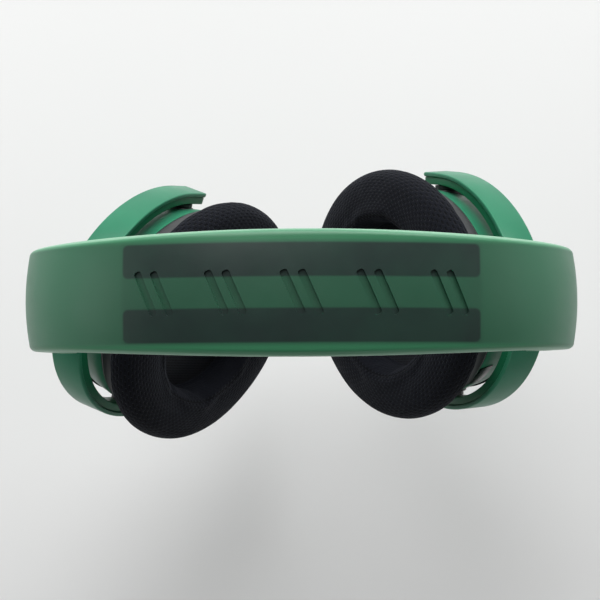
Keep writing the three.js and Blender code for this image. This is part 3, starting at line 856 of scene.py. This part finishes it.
def makeYoke(side):
    place, body = yokePlace(side), side + "_yoke"
    gap = 0.06
    hub = swivelBar(6, -4, 0)
    frameShape = joined(yokeArch(yokeSize["inner"], yokeSize["split"], yokeSize["frameWidth"], 0.4, 0.0), hub)
    inner = makeObject(frameShape, side + "_yoke_inner", place)
    setPiece(inner, body, finish["inner"], [side + "_yoke_frame"], 34)
    split = (yokeSize["split"][0] + gap, yokeSize["split"][1] + gap)
    cover = yokeArch(split, yokeSize["outer"], yokeSize["coverWidth"], 0.45, 0.25)
    outer = makeObject(cover, side + "_yoke_outer", place)
    setPiece(outer, body, finish["shell"], [side + "_yoke_cover"], 34)


for side in ("left", "right"):
    makeYoke(side)
print("yokes made")


# --- cups

cupSize = {
    "aspect": 0.81, "cushionAspect": 0.84, "steps": 112,
    "housing": [(43.2, -3), (44, 0), (45.2, 5), (46.5, 11), (44.3, 11), (43, 5), (41.8, 0), (41, -3)],
    "cover": [(0, -15), (30, -15), (37, -12.6), (41.5, -8), (43.1, -3.4),
              (40.9, -3.4), (39.3, -7), (35.2, -10.8), (29.3, -12.8), (0, -12.8)],
    "ring": [(47.2, 11.3), (48, 12), (48, 15.6), (47.2, 16.3), (38, 16.3), (38, 11.3)],
    "boss": 5.5, "pivot": 2.8,
    "fittings": {"mute": 14, "wheel": 36, "power": 62, "usb": -16, "mic": -40},
}


def curved(control, count, closed=True):
    # an even line through the control points
    dense = []
    total = len(control)
    for i in range(total if closed else total - 1):
        if closed:
            a, b, c, d = (Vector(control[(i + k) % total]) for k in (-1, 0, 1, 2))
        else:
            a, b, c, d = (Vector(control[min(max(i + k, 0), total - 1)]) for k in (-1, 0, 1, 2))
        for k in range(16):
            t = k / 16
            dense.append(0.5 * ((2 * b) + (c - a) * t + (2 * a - 5 * b + 4 * c - d) * t * t
                                + (3 * b - a - 3 * c + d) * t ** 3))
    dense.append(dense[0].copy() if closed else Vector(control[-1]))
    length = [0.0]
    for first, second in zip(dense, dense[1:]):
        length.append(length[-1] + (second - first).length)
    out, spot = [], 0
    for i in range(count if closed else count + 1):
        want = length[-1] * i / count
        while spot < len(length) - 2 and length[spot + 1] < want:
            spot += 1
        part = (want - length[spot]) / max(length[spot + 1] - length[spot], 1e-9)
        out.append(tuple(dense[spot].lerp(dense[spot + 1], min(part, 1.0))))
    return out


def wallFrame(degrees, rear):
    # on the housing's wall; the angle is from straight down, positive to the rear
    angle, half, aspect = math.radians(degrees), 45, cupSize["aspect"]
    y, z = rear * half * aspect * math.sin(angle), -half * math.cos(angle)
    out = Vector((0, y / aspect ** 2, z)).normalized()
    along = Vector((1, 0, 0))
    turn = Matrix((along, out.cross(along), out)).transposed().to_4x4()
    return Matrix.Translation((4, y, z)) @ turn


def onWall(name, rear, bm):
    return moved(bm, wallFrame(cupSize["fittings"][name], rear))


def makeHousing(side):
    place, body, rear = cupPlace(side), side + "_cup", rearSign(side)
    wall = turned(rounded(cupSize["housing"], 0.6), cupSize["steps"], cupSize["aspect"], ring=True)
    bosses = []
    for end in (-1, 1):
        boss = rod(cupSize["boss"], 32, 36.4, 48, 0.4)
        bosses.append(moved(boss, Matrix.Translation((0, 0, hang["cupDrop"])) @ Matrix.Rotation(-end * math.pi / 2, 4, "X")))
    housing = makeObject(wall, side + "_housing", place)
    if side == "left":
        cutters = [
            onWall("mute", rear, rod(3.2, -6, 3)),
            onWall("wheel", rear, block((-2.6, -9.6, -6), (2.6, 9.6, 3), 0.5)),
            onWall("power", rear, block((-2.1, -4.1, -6), (2.1, 4.1, 3), 0.5)),
            onWall("usb", rear, block((-2.2, -5, -6), (2.2, 5, 3), 1.2)),
            onWall("mic", rear, rod(3.7, -6, 3)),
        ]
        cutAway(housing, cutters, place)
    setPiece(housing, body, finish["shell"], [side + "_cup_housing"], 34)
    collar = makeObject(joined(*bosses), side + "_pivot_boss", place)
    setPiece(collar, body, finish["black"])

    outerLine = curved(cupSize["cover"][:5], 26, closed=False)
    innerLine = curved(cupSize["cover"][5:], 22, closed=False)
    spot = next(i for i, point in enumerate(outerLine) if point[0] > 27)
    groove = [(25.2, -15.02), (25.5, -14.95), (25.7, -14.55), (26.3, -14.55), (26.5, -14.95), (26.8, -15.0)]
    outerLine = [point for point in outerLine[:spot] if point[0] < 25] + groove + outerLine[spot:]
    dish = turned(outerLine + innerLine, cupSize["steps"], cupSize["aspect"])
    cover = makeObject(dish, side + "_cover", place)
    lift = Matrix.Translation((0, 0, hang["cupDrop"])) @ Matrix.Rotation(math.pi / 2, 4, "X")
    cutAway(cover, [moved(rod(cupSize["boss"] + 0.3, -60, 60, 64), lift)], place)
    setPiece(cover, body, finish["shell"], [side + "_cup_cover"], 34)

    line = [(43.6, -3.35), (43.9, -3.2), (43.6, -3.05), (42, -3.05), (42, -3.35)]
    seam = makeObject(turned(line, cupSize["steps"], cupSize["aspect"], ring=True), side + "_cover_seam", place)
    setPiece(seam, body, finish["black"])


def makeRing(side):
    place, body = cupPlace(side), side + "_cup"
    profile = rounded(cupSize["ring"], 0.6)
    ring = makeObject(turned(profile, cupSize["steps"], cupSize["aspect"], ring=True), side + "_ring", place)
    setPiece(ring, body, finish["ring"], [side + "_cushion_ring"], 34)
    lines = []
    for place0 in (11.05, 16.45):
        groove = [(46.9, place0 - 0.2), (47.2, place0), (46.9, place0 + 0.2), (44.5, place0 + 0.2), (44.5, place0 - 0.2)]
        lines.append(turned(groove, cupSize["steps"], cupSize["aspect"], ring=True))
    gasket = makeObject(joined(*lines), side + "_gasket", place)
    setPiece(gasket, body, finish["black"])
    dome = curved([(0, 13.9), (20, 13.8), (37.2, 13.4), (37.5, 13.0)], 30, closed=False)
    scrim = makeObject(turned(dome + [(37.5, 12.9), (0, 12.9)], 64, cupSize["aspect"]), side + "_scrim", place)
    setPiece(scrim, body, finish["scrim"], [side + "_speaker_cloth"])


cushionSize = {
    "line": [(47.6, 16.7), (50.6, 19.2), (51.4, 22.5), (50.0, 26.2), (46.2, 28.7), (40.6, 29.7),
             (34.6, 28.9), (30.6, 26.4), (29.2, 23), (29.6, 19.5), (31.2, 16.7), (36, 16.5), (42, 16.5)],
    "around": 44, "stations": 120, "cap": 0.0016, "padCap": 0.0009, "pressure": 4.0, "frames": 20,
}


def makeCushion(side):
    outline = curved(cushionSize["line"], cushionSize["around"])
    stations = []
    for angle in spread(0, 2 * math.pi, cushionSize["stations"]):
        stations.append([Vector((n, radius * cupSize["cushionAspect"] * math.sin(angle), radius * math.cos(angle)))
                         for radius, n in outline])
    bm = sweep(stations)
    mapSweep(bm, turnsRound=True)
    bmesh.ops.recalc_face_normals(bm, faces=bm.faces[:])
    return makeObject(bm, side + "_cushion", cupPlace(side))


def holdBack(piece, isHeld):
    held = piece.vertex_groups.new(name="held")
    held.add([vert.index for vert in piece.data.vertices if isHeld(vert.co)], 1.0, "REPLACE")
    cloth = piece.modifiers.new("stuffing", "CLOTH")
    cloth.settings.quality = 5
    cloth.settings.mass = 0.15
    cloth.settings.tension_stiffness = 12
    cloth.settings.compression_stiffness = 12
    cloth.settings.bending_stiffness = 0.4
    cloth.settings.use_pressure = True
    cloth.settings.uniform_pressure_force = cushionSize["pressure"]
    cloth.settings.shrink_min = -0.03
    cloth.settings.vertex_group_mass = "held"
    cloth.settings.effector_weights.gravity = 0
    cloth.point_cache.frame_end = cushionSize["frames"]


def stuff(pieces):
    # fills the covers with air, and keeps each point near the shape it was cut to
    scene = bpy.context.scene
    before = [[vert.co.copy() for vert in piece.data.vertices] for piece, cap in pieces]
    for step in range(1, cushionSize["frames"] + 1):
        scene.frame_set(step)
    graph = bpy.context.evaluated_depsgraph_get()
    after = [[vert.co.copy() for vert in piece.evaluated_get(graph).data.vertices] for piece, cap in pieces]
    for (piece, cap), old, new in zip(pieces, before, after):
        piece.modifiers.clear()
        largest = 0
        for vert, start, end in zip(piece.data.vertices, old, new):
            step = end - start
            largest = max(largest, step.length)
            if step.length > cap:
                step *= cap / step.length
            vert.co = start + step
        print(piece.name, "moved up to %.2f mm" % (largest * 1000))
    scene.frame_set(1)


padProbe = [onArch(0, -band["depth"] - band["gap"], arc) for arc in spread(-60, 60, 120)]


def nearLiner(spot):
    # true near the pad face that is glued to the liner
    flat = Vector((spot.x * 1000, 0, spot.z * 1000))
    return min((probe - flat).length for probe in padProbe) < 1.3


def finishSoft(piece, body, material, replaced):
    smooth = piece.modifiers.new("smooth", "SUBSURF")
    smooth.levels = smooth.render_levels = 1
    setPiece(piece, body, material, replaced, 0)


def makeSoftPieces():
    cushions = {side: makeCushion(side) for side in ("left", "right")}
    for side, piece in cushions.items():
        back = cupPlace(side).inverted() @ toMetres.inverted()
        holdBack(piece, lambda spot, back=back: (back @ spot).x < 18.2)
    for pad in padPieces:
        holdBack(pad, nearLiner)
    stuff([(piece, cushionSize["cap"]) for piece in cushions.values()]
          + [(pad, cushionSize["padCap"]) for pad in padPieces])
    for side, piece in cushions.items():
        finishSoft(piece, side + "_cup", finish["cushion"], [side + "_ear_cushion"])
    for pad, where in zip(padPieces, ("front", "rear")):
        finishSoft(pad, "headband", finish["pad"], ["head_pad_" + where])


for side in ("left", "right"):
    makeHousing(side)
    makeRing(side)
makeSoftPieces()
print("cups and cushions made")


# --- controls and sockets on the left cup

def makeControls():
    place, rear = cupPlace("left"), rearSign("left")
    button = block((-1.75, -3.75, -3.6), (1.75, 3.75, 1.2), 0.55, 4)
    power = makeObject(onWall("power", rear, button), "power_key", place)
    setPiece(power, "power_button", finish["black"], ["power_button"], 40)

    cap = rod(2.85, -3.6, 1.3, 56, 0.5)
    mute = makeObject(onWall("mute", rear, cap), "mute_key", place)
    setPiece(mute, "mute_button", finish["black"], ["mute_button"], 40)

    wheel = rod(9.25, -2.2, 2.2, 72, 0.35)
    grips = [face for face in wheel.faces if abs(face.normal.z) < 0.1 and face.calc_area() > 1]
    bmesh.ops.inset_individual(wheel, faces=grips, thickness=0.14, depth=-0.3)
    lay = Matrix.Translation((0, 0, -7)) @ Matrix.Rotation(math.pi / 2, 4, "Y")
    wheel = joined(wheel, rod(1.2, -6.2, -2, 24))
    dial = makeObject(onWall("wheel", rear, moved(wheel, lay)), "volume_dial", place)
    setPiece(dial, "volume_wheel", finish["black"], ["volume_wheel"], 30)

    sleeve = rounded([(-1.8, -4.6), (1.8, -4.6), (1.8, 4.6), (-1.8, 4.6)], 1.7, 6)
    shell = sweep([[Vector((x, y, z)) for x, y in sleeve] for z in (-7, -0.4)])
    bmesh.ops.recalc_face_normals(shell, faces=shell.faces[:])
    socket = makeObject(onWall("usb", rear, shell), "charge_socket", place)
    mouth = rounded([(-1.3, -4.1), (1.3, -4.1), (1.3, 4.1), (-1.3, 4.1)], 1.25, 6)
    hole = sweep([[Vector((x, y, z)) for x, y in mouth] for z in (-6, 1)])
    bmesh.ops.recalc_face_normals(hole, faces=hole.faces[:])
    cutAway(socket, [onWall("usb", rear, hole)], place)
    setPiece(socket, "left_cup", finish["steel"], ["usb_socket"], 35)
    tongue = makeObject(onWall("usb", rear, block((-0.35, -3.2, -6.5), (0.35, 3.2, -1.4), 0.12)), "charge_tongue", place)
    setPiece(tongue, "left_cup", finish["black"], angle=35)

    profile = rounded([(0.01, -9), (3.3, -9), (3.3, 0.2), (2.9, 0.6), (1.8, 0.6), (1.8, -8), (0.01, -8)], 0.15, 2, False)
    barrel = turned(profile, 56)
    upright = Matrix.Rotation(-math.pi / 2, 4, "Y")
    jack = makeObject(onWall("mic", rear, moved(barrel, upright)), "mic_jack", place)
    setPiece(jack, "left_cup", finish["steel"], ["mic_socket"], 35)


def makeLabel():
    # a small plain plate on the housing's front shoulder
    rear, aspect = rearSign("left"), cupSize["aspect"]
    stations = []
    for degrees in spread(-141, -126, 10):
        angle = math.radians(degrees)
        row = []
        for n, lift in rounded([(3.8, -0.2), (9.8, -0.2), (9.8, 0.3), (3.8, 0.3)], 0.12, 2):
            radius = 45.2 + (n - 5) * 1.3 / 6 + lift
            row.append(Vector((n, rear * radius * aspect * math.sin(angle), -radius * math.cos(angle))))
        stations.append(row)
    bm = sweep(stations)
    bmesh.ops.recalc_face_normals(bm, faces=bm.faces[:])
    plate = makeObject(bm, "plain_plate", cupPlace("left"))
    setPiece(plate, "left_cup", finish["label"], angle=40)


makeControls()
makeLabel()
print("controls made")


# --- CAD parts that keep their own shape

kept = {
    "steel": ["slider_arm", "swivel_screw", "detent_spring", "screw", "volume_encoder"],
    "magnet": ["driver_magnet"],
    "film": ["diaphragm"],
    "foil": ["battery"],
    "board": ["circuit_board"],
    "black": ["slider_guide", "swivel_collar", "pivot_pin", "baffle", "driver_basket", "crossover_cable"],
}


def dressNodes():
    for name, node in nodes.items():
        if node.hide_render:
            continue
        words = [key for key, endings in kept.items() if any(ending in name for ending in endings)]
        key = "steel" if "screw" in name else (words[0] if words else "black")
        node.data.materials.clear()
        node.data.materials.append(finish[key])


dressNodes()


# --- floor and air around it

def makeFloor():
    bm = bmesh.new()
    bmesh.ops.create_grid(bm, x_segments=2, y_segments=2, size=4.0)
    mesh = bpy.data.meshes.new("floor")
    bm.to_mesh(mesh)
    bm.free()
    floor = bpy.data.objects.new("floor", mesh)
    floor.location = (0, 0, shot["floorZ"])
    material, t, shader = newMaterial("pale_table")
    cloudy = t.noise(objectCoords(t), 3.0, 3.0)
    pale = shot["floorColor"]
    t.link(t.mix(cloudy, (*[part * 0.97 for part in pale], 1), (*pale, 1)), shader.inputs["Base Color"])
    t.link(t.ramp(cloudy, 0.0, 1.0, 0.8, 0.9), shader.inputs["Roughness"])
    mesh.materials.append(material)
    bpy.context.scene.collection.objects.link(floor)


def makeAir():
    world = bpy.data.worlds.new("air")
    world.use_nodes = True
    back = world.node_tree.nodes["Background"]
    back.inputs["Color"].default_value = (*shot["worldColor"], 1)
    back.inputs["Strength"].default_value = shot["worldStrength"]
    bpy.context.scene.world = world


makeFloor()
makeAir()
bpy.context.scene.view_settings.view_transform = "Standard"

print("done")
